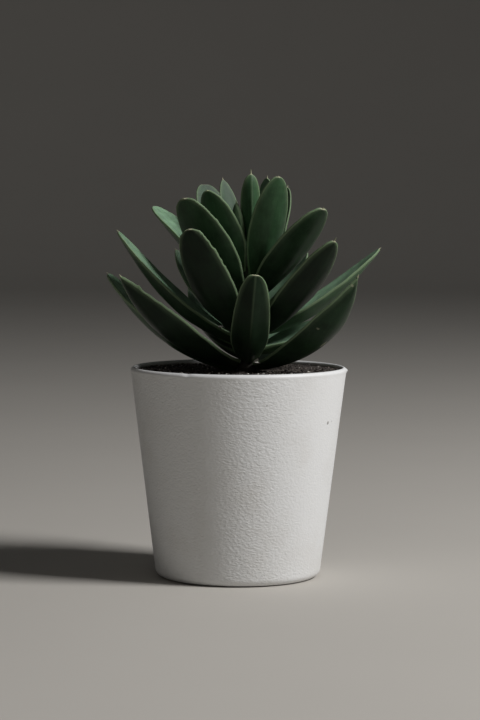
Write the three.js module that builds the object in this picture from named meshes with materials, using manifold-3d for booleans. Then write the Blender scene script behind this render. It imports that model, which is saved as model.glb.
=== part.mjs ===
// Potted haworthia: a rosette of thick, boat-shaped leaves round a short stem, in soil, in a plain pot.
// Millimetres, +Z up. The origin is the centre of the pot's flat underside, and the front faces -Y.
import * as THREE from 'three';
import { mergeVertices } from 'three/addons/utils/BufferGeometryUtils.js';
import Module from 'manifold-3d';

// ---------------------------------------------------------------------------------------------
// Driving dimensions
// ---------------------------------------------------------------------------------------------

const CLEARANCE = 0.3;            // gap between pieces that touch each other on the real plant

const POT_HEIGHT = 77.5;
const POT_TOP_RADIUS = 40;        // outside, at the rim
const POT_FOOT_RADIUS = 30.3;     // outside, where the wall's straight slope would meet the ground
const POT_FOOT_ROUND = 3;         // radius of the edge round the underside
const POT_WALL = 2.4;
const POT_FLOOR = 4;
const RIM_WALL = 1.9;             // the wall is thinner at the lip
const RIM_HEIGHT = 2.4;           // height of the smooth lip
const RIM_PROUD = 0.1;            // how far the lip stands out of the wall
const RIM_EDGE = 0.7;             // chamfer on the lip's two edges
const POT_SEGMENTS = 64;
const FOOT_STEPS = 4;             // facets round the edge of the underside

const SOIL_BELOW_RIM = 1.9;       // soil level at the wall
const SOIL_DISH = 1;              // how much lower the soil is round the stem
const SOIL_RELIEF = 0.35;         // height of the lumps in the soil surface
const SOIL_LUMPS = { x: 0.31, y: 0.27, slantX: 0.17, slantY: 0.41 };  // lumps per mm, as angles
const SOIL_SHRINK = 0.2;          // how much narrower the soil is at its surface than the lip
const SOIL_SEGMENTS = 48;
const SOIL_RINGS = 7;             // rings of facets across the soil surface

const PLANT_X = 3.5;              // the stem stands a little right of the pot's centre
const STEM_RADIUS = 4;
const STEM_TOP_RADIUS = 2;        // at the foot of the growing point
const STEM_SHOULDER = 38;         // height above the rim where the stem begins to narrow
const STEM_TOP = 44;              // height of the growing point above the rim
const STEM_TIP = 1;               // height of the cone that ends the stem
const STEM_DEPTH = 22;            // how far the stem goes down below the rim
const STEM_END = { radius: 3.2, height: 2 };  // the narrowed bottom end of the stem
const STEM_SEGMENTS = 20;

const LEAF_EDGE = 0.7;            // thickness at a leaf's margin
const LEAF_DEPTH = 3.9;           // how far the keel stands below the margins
const LEAF_CUP = 1.2;             // hollow of the upper face
const LEAF_CUP_SPAN = { from: 0.15, length: 0.8 };  // part of a sine wave that the hollow follows
const LEAF_POINT = 1.2;           // length of the small point at the tip
const LEAF_BLADE = 0.985;         // part of the midrib that the blade covers before that point
const LEAF_STEPS = 14;            // rows of facets from base to tip
const LEAF_CROWDING = 0.9;        // below 1 the rows of facets lie closer together at the tip
const SWELL_POWER = 1.3;          // how hollow the outline is between the base and the belly
const SHOULDER_POWER = 2.2;       // how full the outline is past the belly
const KEEL_LEAST = 0.6;           // thickness at both ends of a leaf, as a part of the middle's
const KEEL_TAPER = 0.6;           // how late the keel runs out at the tip
const KEEL_RIDGE = 0.25;          // 0 gives a round back, 1 a sharp keel
const BASE_POLE = -1.2;           // where the middle of the base's end face lies below the midrib
const TWIST_REACHED_AT = 0.6;     // part of the leaf over which it turns to its full twist

// What a leaf has unless its own line below says otherwise. bow is how far the midrib's middle
// sags below the straight line from seat to tip, as a part of that line, and knee is where along
// it the sag is greatest. twist turns the blade about its midrib, in degrees. sweep bends the tip
// sideways. base is the width at the stem and belly the place of the greatest width, both as
// parts. A larger blunt gives a rounder tip. depth scales the thickness.
const LEAF_DEFAULTS = {
  bow: 0, knee: 0.36, twist: 0, sweep: 0, base: 0.36, belly: 0.56, blunt: 1.5, depth: 1,
  root: STEM_RADIUS,
};

// The leaves from the lowest tier to the crown. bearing is the direction that a leaf points in,
// in degrees from the front, positive to the right. seat and tip are heights above the rim, reach
// is the tip's distance from the stem's axis, and width is the greatest width.
const LEAVES = [
  // lowest tier
  {
    bearing: 0.5, seat: 4.6, reach: 28.5, tip: 35, width: 14, bow: 0.18, sweep: 2.2, base: 0.64,
    belly: 0.42, blunt: 2.9, depth: 1.25,
  },
  {
    bearing: 58, seat: 1.6, reach: 46, tip: 34.3, width: 16.5, bow: 0.23, knee: 0.5, twist: -24,
    base: 0.46, belly: 0.36, blunt: 1,
  },
  { bearing: 118, seat: 7, reach: 35, tip: 17.5, width: 13, bow: 0.02, twist: 10 },
  { bearing: 158, seat: 1.5, reach: 45, tip: 27, width: 15, bow: 0.14, blunt: 1.4 },
  { bearing: -152, seat: 5, reach: 46, tip: 31, width: 15, bow: 0.14, blunt: 1.4 },
  {
    bearing: -109, seat: 0.9, reach: 55.8, tip: 33.3, width: 14, bow: 0.12, knee: 0.45, twist: -4,
    base: 0.26, blunt: 2.2, depth: 1.3,
  },
  {
    bearing: -61.5, seat: 2.6, reach: 52.3, tip: 34.2, width: 15.5, bow: 0.15, twist: 25,
    base: 0.34, belly: 0.46, blunt: 1.25,
  },
  { bearing: -127, seat: 8.2, reach: 29, tip: 21.8, width: 9, bow: 0.08, depth: 0.75 },
  // second tier
  {
    bearing: -33.5, seat: 13.5, reach: 38.7, tip: 51.3, width: 16.8, bow: 0.11, twist: 14,
    blunt: 2.4,
  },
  { bearing: 43, seat: 12.8, reach: 44.3, tip: 47.3, width: 15, bow: 0.08, twist: -14, blunt: 1.9 },
  {
    bearing: 103, seat: 14.5, reach: 50, tip: 43.3, width: 14, bow: 0.08, base: 0.45, belly: 0.46,
    blunt: 1.9, depth: 1.25,
  },
  { bearing: 163, seat: 12, reach: 42, tip: 43, width: 15, bow: 0.08 },
  { bearing: -141, seat: 14.5, reach: 44, tip: 42, width: 13, bow: 0.08, blunt: 1.4 },
  {
    bearing: -100, seat: 11.5, reach: 49.2, tip: 49.4, width: 15.5, bow: 0.09, twist: 1, blunt: 2.2,
    depth: 1.3,
  },
  { bearing: 72, seat: 20, reach: 22, tip: 39, width: 9, bow: 0.05 },
  { bearing: -74, seat: 20.5, reach: 23, tip: 41, width: 11, bow: 0.05 },
  // third tier
  { bearing: -44, seat: 26.5, reach: 33.6, tip: 62, width: 18.4, twist: 14, blunt: 2.3 },
  {
    bearing: 50, seat: 27.5, reach: 34.6, tip: 58.6, width: 17.5, bow: -0.02, twist: -12,
    base: 0.55, belly: 0.48, blunt: 2.3,
  },
  { bearing: 121, seat: 22.2, reach: 25.5, tip: 42, width: 13, bow: 0.05 },
  { bearing: 179, seat: 23.5, reach: 34, tip: 56, width: 15, bow: 0.05, blunt: 1.6 },
  {
    bearing: -121, seat: 25.8, reach: 41.5, tip: 58.6, width: 18.5, bow: -0.1, twist: 2, base: 0.35,
    belly: 0.5, blunt: 2.4, depth: 1.5,
  },
  // fourth tier
  {
    bearing: -43, seat: 35.5, reach: 22.2, tip: 64.9, width: 15, bow: -0.02, twist: 12, belly: 0.52,
    blunt: 2, depth: 0.85,
  },
  { bearing: 29.5, seat: 33, reach: 21.4, tip: 70, width: 13.8, bow: 0.01, twist: -8, blunt: 2.1 },
  { bearing: 84, seat: 37, reach: 13.5, tip: 60.5, width: 10 },
  { bearing: 131, seat: 30.5, reach: 19, tip: 66, width: 13, blunt: 1.8 },
  { bearing: 174, seat: 37.4, reach: 15, tip: 62, width: 7.4, bow: 0.03 },
  { bearing: -148, seat: 32.5, reach: 31.4, tip: 66.9, width: 15, bow: 0.04, blunt: 2.9 },
  { bearing: -103, seat: 37, reach: 15, tip: 59, width: 8, base: 0.4 },
  // crown
  { bearing: -146, seat: 41, reach: 17.3, tip: 68.7, width: 8.2, bow: -0.03, blunt: 1.8 },
  { bearing: 125, seat: 41.5, reach: 8.2, tip: 69.4, width: 11, bow: 0.02, blunt: 2, root: 3 },
  {
    bearing: 10, seat: 44.5, reach: 4, tip: 70.8, width: 7.4, base: 0.25, belly: 0.65, blunt: 2.2,
    root: 1,
  },
  { bearing: -58, seat: 44.5, reach: 5.4, tip: 60.3, width: 6, base: 0.4, root: 2.1 },
];

// Colour, roughness and metalness of each material
const POT_LOOK = { color: 0xd9d5cd, roughness: 0.75, metalness: 0 };
const SOIL_LOOK = { color: 0x1b1714, roughness: 0.95, metalness: 0 };
const STEM_LOOK = { color: 0x39422f, roughness: 0.8, metalness: 0 };
const LEAF_LOOK = { color: 0x2f4a35, roughness: 0.5, metalness: 0 };

// ---------------------------------------------------------------------------------------------
// Helpers
// ---------------------------------------------------------------------------------------------

const wasm = await Module();
wasm.setup();

// A geometry whose shared corners are one vertex, with nothing but their positions
function weld(geometry) {
  for (const name of Object.keys(geometry.attributes)) {
    if (name !== 'position') geometry.deleteAttribute(name);
  }
  return mergeVertices(geometry, 1e-4);
}

function toSolid(geometry) {
  const welded = weld(geometry);
  const vertProperties = new Float32Array(welded.getAttribute('position').array);
  const triVerts = new Uint32Array(welded.getIndex().array);
  return new wasm.Manifold(new wasm.Mesh({ numProp: 3, vertProperties, triVerts }));
}

function toGeometry(solid) {
  const mesh = solid.getMesh();
  const geometry = new THREE.BufferGeometry();
  geometry.setAttribute('position', new THREE.BufferAttribute(mesh.vertProperties, 3));
  geometry.setIndex(new THREE.BufferAttribute(mesh.triVerts, 1));
  return geometry;
}

// Turns an (r, z) outline round the Z axis
function turned(outline, segments) {
  const points = outline.map(([r, z]) => new THREE.Vector2(r, z));
  return new THREE.LatheGeometry(points, segments).rotateX(Math.PI / 2);
}

function addPiece(group, name, geometry, look) {
  const mesh = new THREE.Mesh(geometry, new THREE.MeshStandardMaterial(look));
  mesh.name = name;
  group.add(mesh);
  return mesh;
}

// ---------------------------------------------------------------------------------------------
// Pot
// ---------------------------------------------------------------------------------------------

// Outside radius of the straight wall at height z
function wallRadius(z) {
  return POT_FOOT_RADIUS + (POT_TOP_RADIUS - RIM_PROUD - POT_FOOT_RADIUS) * (z / POT_HEIGHT);
}

function potGeometry() {
  const lipFoot = POT_HEIGHT - RIM_HEIGHT;
  const innerRim = POT_TOP_RADIUS - RIM_WALL;
  const outline = [[0, 0]];
  for (let step = 0; step <= FOOT_STEPS; step += 1) {
    const angle = (step / FOOT_STEPS) * (Math.PI / 2);
    const z = POT_FOOT_ROUND * (1 - Math.cos(angle));
    outline.push([wallRadius(z) - POT_FOOT_ROUND * (1 - Math.sin(angle)), z]);
  }
  outline.push([wallRadius(lipFoot), lipFoot]);
  outline.push([wallRadius(lipFoot) + RIM_PROUD, lipFoot + RIM_PROUD]);
  outline.push([POT_TOP_RADIUS, POT_HEIGHT - RIM_EDGE]);
  outline.push([POT_TOP_RADIUS - RIM_EDGE, POT_HEIGHT]);
  outline.push([innerRim + RIM_EDGE, POT_HEIGHT]);
  outline.push([innerRim, POT_HEIGHT - RIM_EDGE]);
  outline.push([innerRim, lipFoot]);
  outline.push([wallRadius(lipFoot - RIM_HEIGHT) - POT_WALL, lipFoot - RIM_HEIGHT]);
  outline.push([wallRadius(POT_FLOOR) - POT_WALL, POT_FLOOR]);
  outline.push([0, POT_FLOOR]);
  return weld(turned(outline, POT_SEGMENTS));
}

// ---------------------------------------------------------------------------------------------
// Soil and stem
// ---------------------------------------------------------------------------------------------

// Height of the soil surface, dished and lumpy
function soilHeight(x, y, radius) {
  const out = Math.hypot(x, y) / radius;
  const dish = SOIL_DISH * (1 - out * out);
  const square = Math.sin(SOIL_LUMPS.x * x + 0.9) * Math.cos(SOIL_LUMPS.y * y);
  const slanting = Math.sin(SOIL_LUMPS.slantX * x - SOIL_LUMPS.slantY * y);
  const lumps = SOIL_RELIEF * (square + slanting) * (1 - out ** 6);
  return POT_HEIGHT - SOIL_BELOW_RIM - dish + lumps;
}

function soilGeometry() {
  const bottom = POT_FLOOR + CLEARANCE;
  const edge = POT_HEIGHT - SOIL_BELOW_RIM;
  const inside = (z) => wallRadius(z) - POT_WALL - CLEARANCE;
  const neck = POT_HEIGHT - 2 * RIM_HEIGHT;
  const topRadius = POT_TOP_RADIUS - RIM_WALL - CLEARANCE - SOIL_SHRINK;
  const outline = [[0, bottom], [inside(bottom), bottom], [inside(neck), neck], [topRadius, edge]];
  for (let ring = SOIL_RINGS - 1; ring > 0; ring -= 1) {
    outline.push([(topRadius * ring) / SOIL_RINGS, edge]);
  }
  outline.push([0, edge]);
  const geometry = weld(turned(outline, SOIL_SEGMENTS));
  const position = geometry.getAttribute('position');
  for (let i = 0; i < position.count; i += 1) {
    const [x, y, z] = [position.getX(i), position.getY(i), position.getZ(i)];
    const onTop = z > edge - 0.01 && Math.hypot(x, y) < topRadius - 0.01;
    if (onTop) position.setZ(i, soilHeight(x, y, topRadius));
  }
  const holeRadius = STEM_RADIUS + CLEARANCE;
  const holeFloor = POT_HEIGHT - STEM_DEPTH - CLEARANCE;
  const holeHeight = POT_HEIGHT - holeFloor;
  const hole = new THREE.CylinderGeometry(holeRadius, holeRadius, holeHeight, STEM_SEGMENTS);
  hole.rotateX(Math.PI / 2).translate(PLANT_X, 0, holeFloor + holeHeight / 2);
  return toGeometry(toSolid(geometry).subtract(toSolid(hole)));
}

function stemGeometry() {
  const outline = [
    [0, -STEM_DEPTH], [STEM_END.radius, -STEM_DEPTH], [STEM_RADIUS, STEM_END.height - STEM_DEPTH],
    [STEM_RADIUS, STEM_SHOULDER], [STEM_TOP_RADIUS, STEM_TOP - STEM_TIP], [0, STEM_TOP],
  ];
  return weld(turned(outline, STEM_SEGMENTS)).translate(PLANT_X, 0, POT_HEIGHT);
}

// ---------------------------------------------------------------------------------------------
// Leaves
// ---------------------------------------------------------------------------------------------

// Corners of a leaf's section, right round from the left margin: how far across from the midrib,
// and which face the corner lies on (1 the upper face, -1 the back)
const SECTION = [
  [-1, 1], [-0.5, 1], [0, 1], [0.5, 1], [1, 1],
  [1, -1], [0.62, -1], [0, -1], [-0.62, -1], [-1, -1],
];

// Half width at a place along the leaf, from 0 at the stem to 1 at the tip
function halfWidth(leaf, along) {
  if (along < leaf.belly) {
    const swell = Math.sin((Math.PI / 2) * (along / leaf.belly)) ** SWELL_POWER;
    return (leaf.width / 2) * (leaf.base + (1 - leaf.base) * swell);
  }
  const past = (along - leaf.belly) / (1 - leaf.belly);
  return (leaf.width / 2) * Math.max(0, 1 - past ** SHOULDER_POWER) ** (1 / leaf.blunt);
}

// Height of the section over the midrib at a part of the half width across
function sectionHeight(leaf, along, across, face) {
  const fullness = halfWidth(leaf, along) / (leaf.width / 2);
  const wave = Math.sin(Math.PI * (LEAF_CUP_SPAN.from + LEAF_CUP_SPAN.length * along));
  const cup = LEAF_CUP * fullness * wave;
  if (face > 0) return LEAF_EDGE / 2 - cup * (1 - across ** 2);
  const taper = Math.max(0, 1 - along ** 3) ** KEEL_TAPER;
  const middle = THREE.MathUtils.lerp(KEEL_LEAST, 1, Math.sin(Math.PI * along));
  const depth = LEAF_DEPTH * leaf.depth * middle * taper;
  const rise = THREE.MathUtils.lerp(across ** 2, Math.abs(across), KEEL_RIDGE);
  return -LEAF_EDGE / 2 - (depth + cup / 2) * (1 - rise);
}

// The midrib's point and the leaf's own directions at a place along it
function midrib(leaf, along) {
  const bearing = THREE.MathUtils.degToRad(leaf.bearing);
  const outward = new THREE.Vector3(Math.sin(bearing), -Math.cos(bearing), 0);
  const sideways = new THREE.Vector3(Math.cos(bearing), Math.sin(bearing), 0);
  const start = new THREE.Vector2(leaf.root + CLEARANCE, leaf.seat);
  const end = new THREE.Vector2(leaf.reach, leaf.tip);
  const chord = end.clone().sub(start);
  const sag = new THREE.Vector2(chord.y, -chord.x).multiplyScalar(leaf.bow);
  const bend = start.clone().addScaledVector(chord, leaf.knee).add(sag);
  const curve = new THREE.QuadraticBezierCurve(start, bend, end);
  const at = curve.getPoint(along);
  const slope = curve.getTangent(along);

  const point = new THREE.Vector3(PLANT_X, 0, POT_HEIGHT + at.y);
  point.addScaledVector(outward, at.x).addScaledVector(sideways, leaf.sweep * along ** 2);
  const forward = outward.clone().multiplyScalar(slope.x).setZ(slope.y);
  forward.addScaledVector(sideways, (2 * leaf.sweep * along) / chord.length()).normalize();
  const across = sideways.clone().addScaledVector(forward, -sideways.dot(forward)).normalize();
  const turn = THREE.MathUtils.degToRad(leaf.twist) * Math.min(1, along / TWIST_REACHED_AT);
  across.applyAxisAngle(forward, turn);
  const up = new THREE.Vector3().crossVectors(forward, across);
  return { point, forward, across, up };
}

// A closed form with a pole at each end gives the leaf its facets: the first pole closes the base,
// the rows between follow the midrib, and the last pole is the small point at the tip
function leafGeometry(leaf) {
  const geometry = new THREE.SphereGeometry(1, SECTION.length, LEAF_STEPS);
  const position = geometry.getAttribute('position');
  const rowLength = SECTION.length + 1;
  for (let i = 0; i < position.count; i += 1) {
    const row = Math.floor(i / rowLength);
    const [acrossPart, face] = SECTION[(i % rowLength) % SECTION.length];
    const spread = THREE.MathUtils.clamp((row - 1) / (LEAF_STEPS - 2), 0, 1);
    const along = LEAF_BLADE * (0.5 - 0.5 * Math.cos(Math.PI * spread ** LEAF_CROWDING));
    const { point, forward, across, up } = midrib(leaf, along);
    if (row === LEAF_STEPS) {
      point.copy(midrib(leaf, 1).point).addScaledVector(forward, LEAF_POINT);
    } else if (row > 0) {
      point.addScaledVector(across, acrossPart * halfWidth(leaf, along));
      point.addScaledVector(up, sectionHeight(leaf, along, acrossPart, face));
    } else {
      point.addScaledVector(up, BASE_POLE);
    }
    position.setXYZ(i, point.x, point.y, point.z);
  }
  return weld(geometry);
}

// ---------------------------------------------------------------------------------------------
// Assembly
// ---------------------------------------------------------------------------------------------

const plant = new THREE.Group();
addPiece(plant, 'pot', potGeometry(), POT_LOOK);
addPiece(plant, 'soil', soilGeometry(), SOIL_LOOK);
addPiece(plant, 'stem', stemGeometry(), STEM_LOOK);
LEAVES.forEach((line, index) => {
  const leaf = { ...LEAF_DEFAULTS, ...line };
  const name = `leaf_${String(index + 1).padStart(2, '0')}`;
  addPiece(plant, name, leafGeometry(leaf), LEAF_LOOK);
});

export default plant;
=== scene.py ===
"""Potted haworthia: a rosette of thick, pointed leaves on a short stem, in dark soil, in a plain pot.

The pot, the soil, the stem and each leaf are modelled with fine surfaces in the places where the
part's own solids stand. Lengths are metres, in the part's frame, and MM turns millimetres into
metres. The front faces -Y.
"""
import math
import random
from dataclasses import dataclass

import bmesh
import bpy
from bpy.props import FloatProperty, FloatVectorProperty, IntProperty, PointerProperty
from bpy.types import Operator, Panel, PropertyGroup
from mathutils import Euler, Matrix, Vector, noise


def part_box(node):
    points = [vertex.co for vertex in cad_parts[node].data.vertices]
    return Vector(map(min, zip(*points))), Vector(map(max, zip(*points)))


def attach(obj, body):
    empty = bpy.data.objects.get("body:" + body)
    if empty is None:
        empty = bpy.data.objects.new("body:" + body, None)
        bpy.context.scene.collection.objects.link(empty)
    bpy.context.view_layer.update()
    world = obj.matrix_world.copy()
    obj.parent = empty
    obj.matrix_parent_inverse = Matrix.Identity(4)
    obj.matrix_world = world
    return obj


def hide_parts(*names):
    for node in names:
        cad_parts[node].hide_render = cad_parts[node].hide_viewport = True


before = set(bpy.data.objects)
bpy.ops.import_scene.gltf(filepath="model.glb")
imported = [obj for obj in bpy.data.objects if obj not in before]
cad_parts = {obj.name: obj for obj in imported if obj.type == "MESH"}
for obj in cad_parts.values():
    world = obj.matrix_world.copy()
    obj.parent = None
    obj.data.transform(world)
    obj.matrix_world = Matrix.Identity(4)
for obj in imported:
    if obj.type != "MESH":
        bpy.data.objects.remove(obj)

bl_info = {
    "name": "Potted haworthia",
    "version": (1, 0, 0),
    "blender": (4, 5, 0),
    "location": "3D View > Sidebar > Haworthia",
    "description": "Models a small haworthia in a plain white pot, with its stage",
    "category": "Add Mesh",
}

MM = 0.001
FULL_TURN = 2 * math.pi

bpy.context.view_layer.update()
POT_LOW, POT_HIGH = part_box("pot")
SOIL_LOW, SOIL_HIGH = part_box("soil")
STEM_LOW, STEM_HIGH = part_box("stem")

RIM_HEIGHT = POT_HIGH.z
STEM_X = (STEM_LOW.x + STEM_HIGH.x) / 2
STEM_RADIUS = (STEM_HIGH.x - STEM_LOW.x) / 2
CLEARANCE = 0.3 * MM              # gap between pieces that touch on the real plant

# ---- The leaves ------------------------------------------


@dataclass
class Leaf:
    """One leaf. Lengths are millimetres here and heights are above the rim.

    bearing is the direction it points in, in degrees from the front, positive to the right. seat is
    the height where it leaves the stem, tip and reach are the tip's height and its distance from the
    stem's axis, and width is the greatest width. bow is how far the midrib sags and knee where it
    sags most, both as parts of the straight line from seat to tip. twist turns the blade about its
    midrib and sweep bends the tip sideways. base is the width at the stem and belly the place of
    the greatest width, as parts. A larger blunt gives a rounder tip, and depth scales the
    thickness. crinkle is the height of the waves in the margin near the tip, and spike the length
    of the point. ridge is how sharp the keel is, how high its bead stands and how strongly a
    painted highlight line shows along it. tone makes the leaf's colour lighter or darker: it is
    painted light and shade for how the light falls on the leaf, and a small random drift of the
    leaf's own colour is added to it. marks are pale scars on its back: how far across from the
    midrib each lies, how far along as a part, and its radius.
    """
    bearing: float
    seat: float
    reach: float
    tip: float
    width: float
    bow: float = 0.0
    knee: float = 0.36
    twist: float = 0.0
    sweep: float = 0.0
    base: float = 0.36
    belly: float = 0.56
    blunt: float = 1.5
    depth: float = 1.0
    root: float = 4.0
    crinkle: float = 0.08
    spike: float = 1.2
    keel_and_highlight: float = 0.15
    tone: float = 1.0
    marks: tuple = ()


# The pale scars on the back of the large leaf at the right, as Leaf's marks are given
SCARS = (
    (2.5, 0.478, 0.7), (2.8, 0.492, 0.7), (3.1, 0.507, 0.6),
    (-4.4, 0.581, 0.45), (-6, 0.537, 0.45), (-1.1, 0.94, 0.5),
)

LEAVES = [
    # lowest tier
    Leaf(0.5, 4.6, 28.5, 35, 14, bow=0.18, sweep=2.2, base=0.64, belly=0.42, blunt=2.9, depth=1.25,
         spike=0.3, keel_and_highlight=1, tone=0.5),
    Leaf(58, 1.6, 46, 34.3, 16.5, bow=0.23, knee=0.5, twist=-24, base=0.46, belly=0.36, blunt=1,
         tone=0.7, marks=SCARS),
    Leaf(118, 7, 35, 17.5, 13, bow=0.02, twist=10, tone=1.6),
    Leaf(158, 1.5, 45, 27, 15, bow=0.14, blunt=1.4),
    Leaf(-152, 5, 46, 31, 15, bow=0.14, blunt=1.4),
    Leaf(-109, 0.9, 55.8, 33.3, 14, bow=0.12, knee=0.45, twist=-4, base=0.26, blunt=2.2, depth=1.3,
         tone=1.5),
    Leaf(-61.5, 2.6, 52.3, 34.2, 15.5, bow=0.15, twist=25, base=0.34, belly=0.46, blunt=1.25,
         crinkle=0.22, tone=0.36),
    Leaf(-127, 8.2, 29, 21.8, 9, bow=0.08, depth=0.75),
    # second tier
    Leaf(-33.5, 13.5, 38.7, 51.3, 16.8, bow=0.11, twist=14, blunt=2.4, crinkle=0.28, spike=0.3,
         tone=0.38),
    Leaf(43, 12.8, 44.3, 47.3, 15, bow=0.08, twist=-14, blunt=1.9, spike=2, tone=0.36),
    Leaf(103, 14.5, 50, 43.3, 14, bow=0.08, base=0.45, belly=0.46, blunt=1.9, depth=1.25, tone=1.8),
    Leaf(163, 12, 42, 43, 15, bow=0.08),
    Leaf(-141, 14.5, 44, 42, 13, bow=0.08, blunt=1.4),
    Leaf(-100, 11.5, 49.2, 49.4, 15.5, bow=0.09, twist=1, blunt=2.2, depth=1.3, tone=1.1),
    Leaf(72, 20, 22, 39, 9, bow=0.05),
    Leaf(-74, 20.5, 23, 41, 11, bow=0.05),
    # third tier
    Leaf(-44, 26.5, 33.6, 62, 18.4, twist=14, blunt=2.3, crinkle=0.18, spike=0.5, tone=1.4),
    Leaf(50, 27.5, 34.6, 58.6, 17.5, bow=-0.02, twist=-12, base=0.55, belly=0.48, blunt=2.3,
         spike=0.8, tone=0.9),
    Leaf(121, 22.2, 25.5, 42, 13, bow=0.05),
    Leaf(179, 23.5, 34, 56, 15, bow=0.05, blunt=1.6),
    Leaf(-121, 25.8, 41.5, 58.6, 18.5, bow=-0.1, twist=2, base=0.35, belly=0.5, blunt=2.4,
         depth=1.5, spike=0.4, tone=1.5),
    # fourth tier
    Leaf(-43, 35.5, 22.2, 64.9, 15, bow=-0.02, twist=12, belly=0.52, blunt=2, depth=0.85, spike=0.3,
         tone=1.65),
    Leaf(29.5, 33, 21.4, 70, 13.8, bow=0.01, twist=-8, blunt=2.1, spike=0.5, tone=1.8),
    Leaf(84, 37, 13.5, 60.5, 10),
    Leaf(131, 30.5, 19, 66, 13, blunt=1.8, tone=1.1),
    Leaf(174, 37.4, 15, 62, 7.4, bow=0.03, spike=0.3, tone=2),
    Leaf(-148, 32.5, 31.4, 66.9, 15, bow=0.04, blunt=2.9, spike=0.3, tone=0.45),
    Leaf(-103, 37, 15, 59, 8, base=0.4),
    # crown
    Leaf(-146, 41, 17.3, 68.7, 8.2, bow=-0.03, blunt=1.8, tone=0.45),
    Leaf(125, 41.5, 8.2, 69.4, 11, bow=0.02, blunt=2, root=3),
    Leaf(10, 44.5, 4, 70.8, 7.4, base=0.25, belly=0.65, blunt=2.2, root=1, spike=2, keel_and_highlight=1,
         tone=2),
    Leaf(-58, 44.5, 5.4, 60.3, 6, base=0.4, root=2.1),
]


def linear(code):
    """A colour written as sRGB hex, as the linear values that Blender works with."""
    parts = [int(code[i:i + 2], 16) / 255 for i in (0, 2, 4)]
    return tuple(c / 12.92 if c <= 0.04045 else ((c + 0.055) / 1.055) ** 2.4 for c in parts)


def length(name, description, millimetres):
    """A setting that is a length, kept in metres."""
    return FloatProperty(name=name, description=description, default=millimetres * MM, unit="LENGTH",
                         precision=5)


def number(name, description, default, least=0, **options):
    """A setting that is a plain number."""
    return FloatProperty(name=name, description=description, default=default, min=least, **options)


def colour(name, description, code):
    """A setting that is a colour, from its sRGB hex."""
    return FloatVectorProperty(name=name, description=description, default=linear(code), size=3,
                               min=0, max=1, subtype="COLOR")


# ---- Settings --------------------------------------------


class PotSettings(PropertyGroup):
    """The pot's sizes and colours"""
    foot_radius: length("Foot radius", "Where the wall's slope would meet the ground", 30.3)
    foot_round: length("Foot rounding", "Setback of the rounded edge underneath", 2.65)
    wall: length("Wall", "Thickness of the wall", 2.4)
    floor: length("Floor", "Thickness of the floor", 4)
    lip_wall: length("Lip thickness", "Thickness of the wall at the lip", 1.9)
    lip_height: length("Lip height", "Height of the smooth band round the top", 2.4)
    lip_proud: length("Lip step", "How far the lip stands out of the wall", 0.1)
    lip_round: length("Lip rounding", "Rounding of the lip's outer edge", 1.15)
    lip_inner: length("Inner rounding", "Rounding of the lip's inner edge", 0.7)
    grain_size: length("Grain size", "Distance between the bumps of the finish", 0.9)
    grain_height: length("Grain height", "Height of the bumps of the finish", 0.07)
    body: colour("Finish", "The sprayed matt finish", "E3E4E4")
    stain: colour("Stain", "Faint dust and handling marks", "C8C4BD")
    scuff: colour("Scuff", "The small dark scuffs", "6B675F")
    # Painted shade: the inside of the wall is darkened where the leaves shade it
    inner_shade: colour("Dust", "Peat dust on the inside of the wall", "6E655B")


class SoilSettings(PropertyGroup):
    """The potting mix's sizes and colours"""
    below_rim: length("Below the rim", "Depth of the soil at the wall", 1.5)
    dish: length("Dish", "How much lower the soil is round the stem", 0.5)
    relief: length("Relief", "Height of the lumps in the surface", 0.35)
    crumb: length("Crumb size", "Middling radius of a crumb", 0.42)
    crumbs: IntProperty(name="Crumbs", description="How many crumbs lie on the soil", default=2200)
    grit: IntProperty(name="Grit", description="How many white grains lie on the soil", default=240)
    seed: IntProperty(name="Seed", description="Another number scatters the crumbs anew", default=7)
    peat: colour("Peat", "Damp peat", "332D29")
    # Painted shade in the hollows of the peat's bump
    hollow_shade: colour("Wet peat", "The hollows in the peat", "0D0B0A")
    bark: colour("Bark", "Fibres and bark in the peat", "6A6158")
    perlite: colour("Perlite", "The white grains", "D9D6CE")


class StemSettings(PropertyGroup):
    """The stem's sizes and colours"""
    shoulder: length("Shoulder", "Height above the rim where the stem narrows", 38)
    top_radius: length("Top radius", "Radius at the growing point", 2)
    scar_step: length("Scar step", "Distance between the leaf scars", 3.1)
    scar_height: length("Scar height", "How far a leaf scar stands out", 0.28)
    # Both stem colours are darkened as painted shade under the leaves
    bark: colour("Bark", "Old tissue low on the stem", "2E2920")
    green: colour("Green", "Young tissue high on the stem", "35402A")
    streak: colour("Streaks", "The dark streaks along the stem", "23231A")


class LeafSettings(PropertyGroup):
    """The leaves' sizes and colours"""
    edge: length("Margin thickness", "Thickness at a leaf's margin", 0.7)
    depth: length("Depth", "How far the back stands below the margins", 3.9)
    cup: length("Hollow", "Hollow of the upper face", 1.2)
    line: length("Margin line", "Width of the pale line along the margin", 0.4)
    # The margin's glow is painted light let through the thin margin, strongest towards the tip
    painted_glow: length("Margin glow", "How far the margin's paleness reaches into the leaf", 1.8)
    bumps: length("Unevenness", "Gentle unevenness of the surface", 0.16)
    # The back and the upper face: partly the leaf's own colours, partly painted shade and light
    back: colour("Back", "The leaf's back", "253A26")
    face: colour("Upper face", "The leaf's upper face", "607A63")
    blade_base: colour("Leaf base", "Near the stem", "333D26")
    margin: colour("Margin", "The thin, translucent margin", "768A6B")
    dry: colour("Point", "The dry point at the tip", "A5A78C")


class StageSettings(PropertyGroup):
    """The floor, the lights and the camera"""
    floor: colour("Floor", "The matt floor and backdrop", "BDB9B2")
    key: number("Key light", "Power of the soft light from the right", 18.0, unit="POWER")
    fill: number("Fill light", "Power of the soft light from the front", 0.7, unit="POWER")
    sky: number("Sky", "Strength of the light from all round", 0.05)
    lens: number("Focal length", "Of the camera, on a 36 mm sensor", 120.03, 1, unit="CAMERA")


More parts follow.
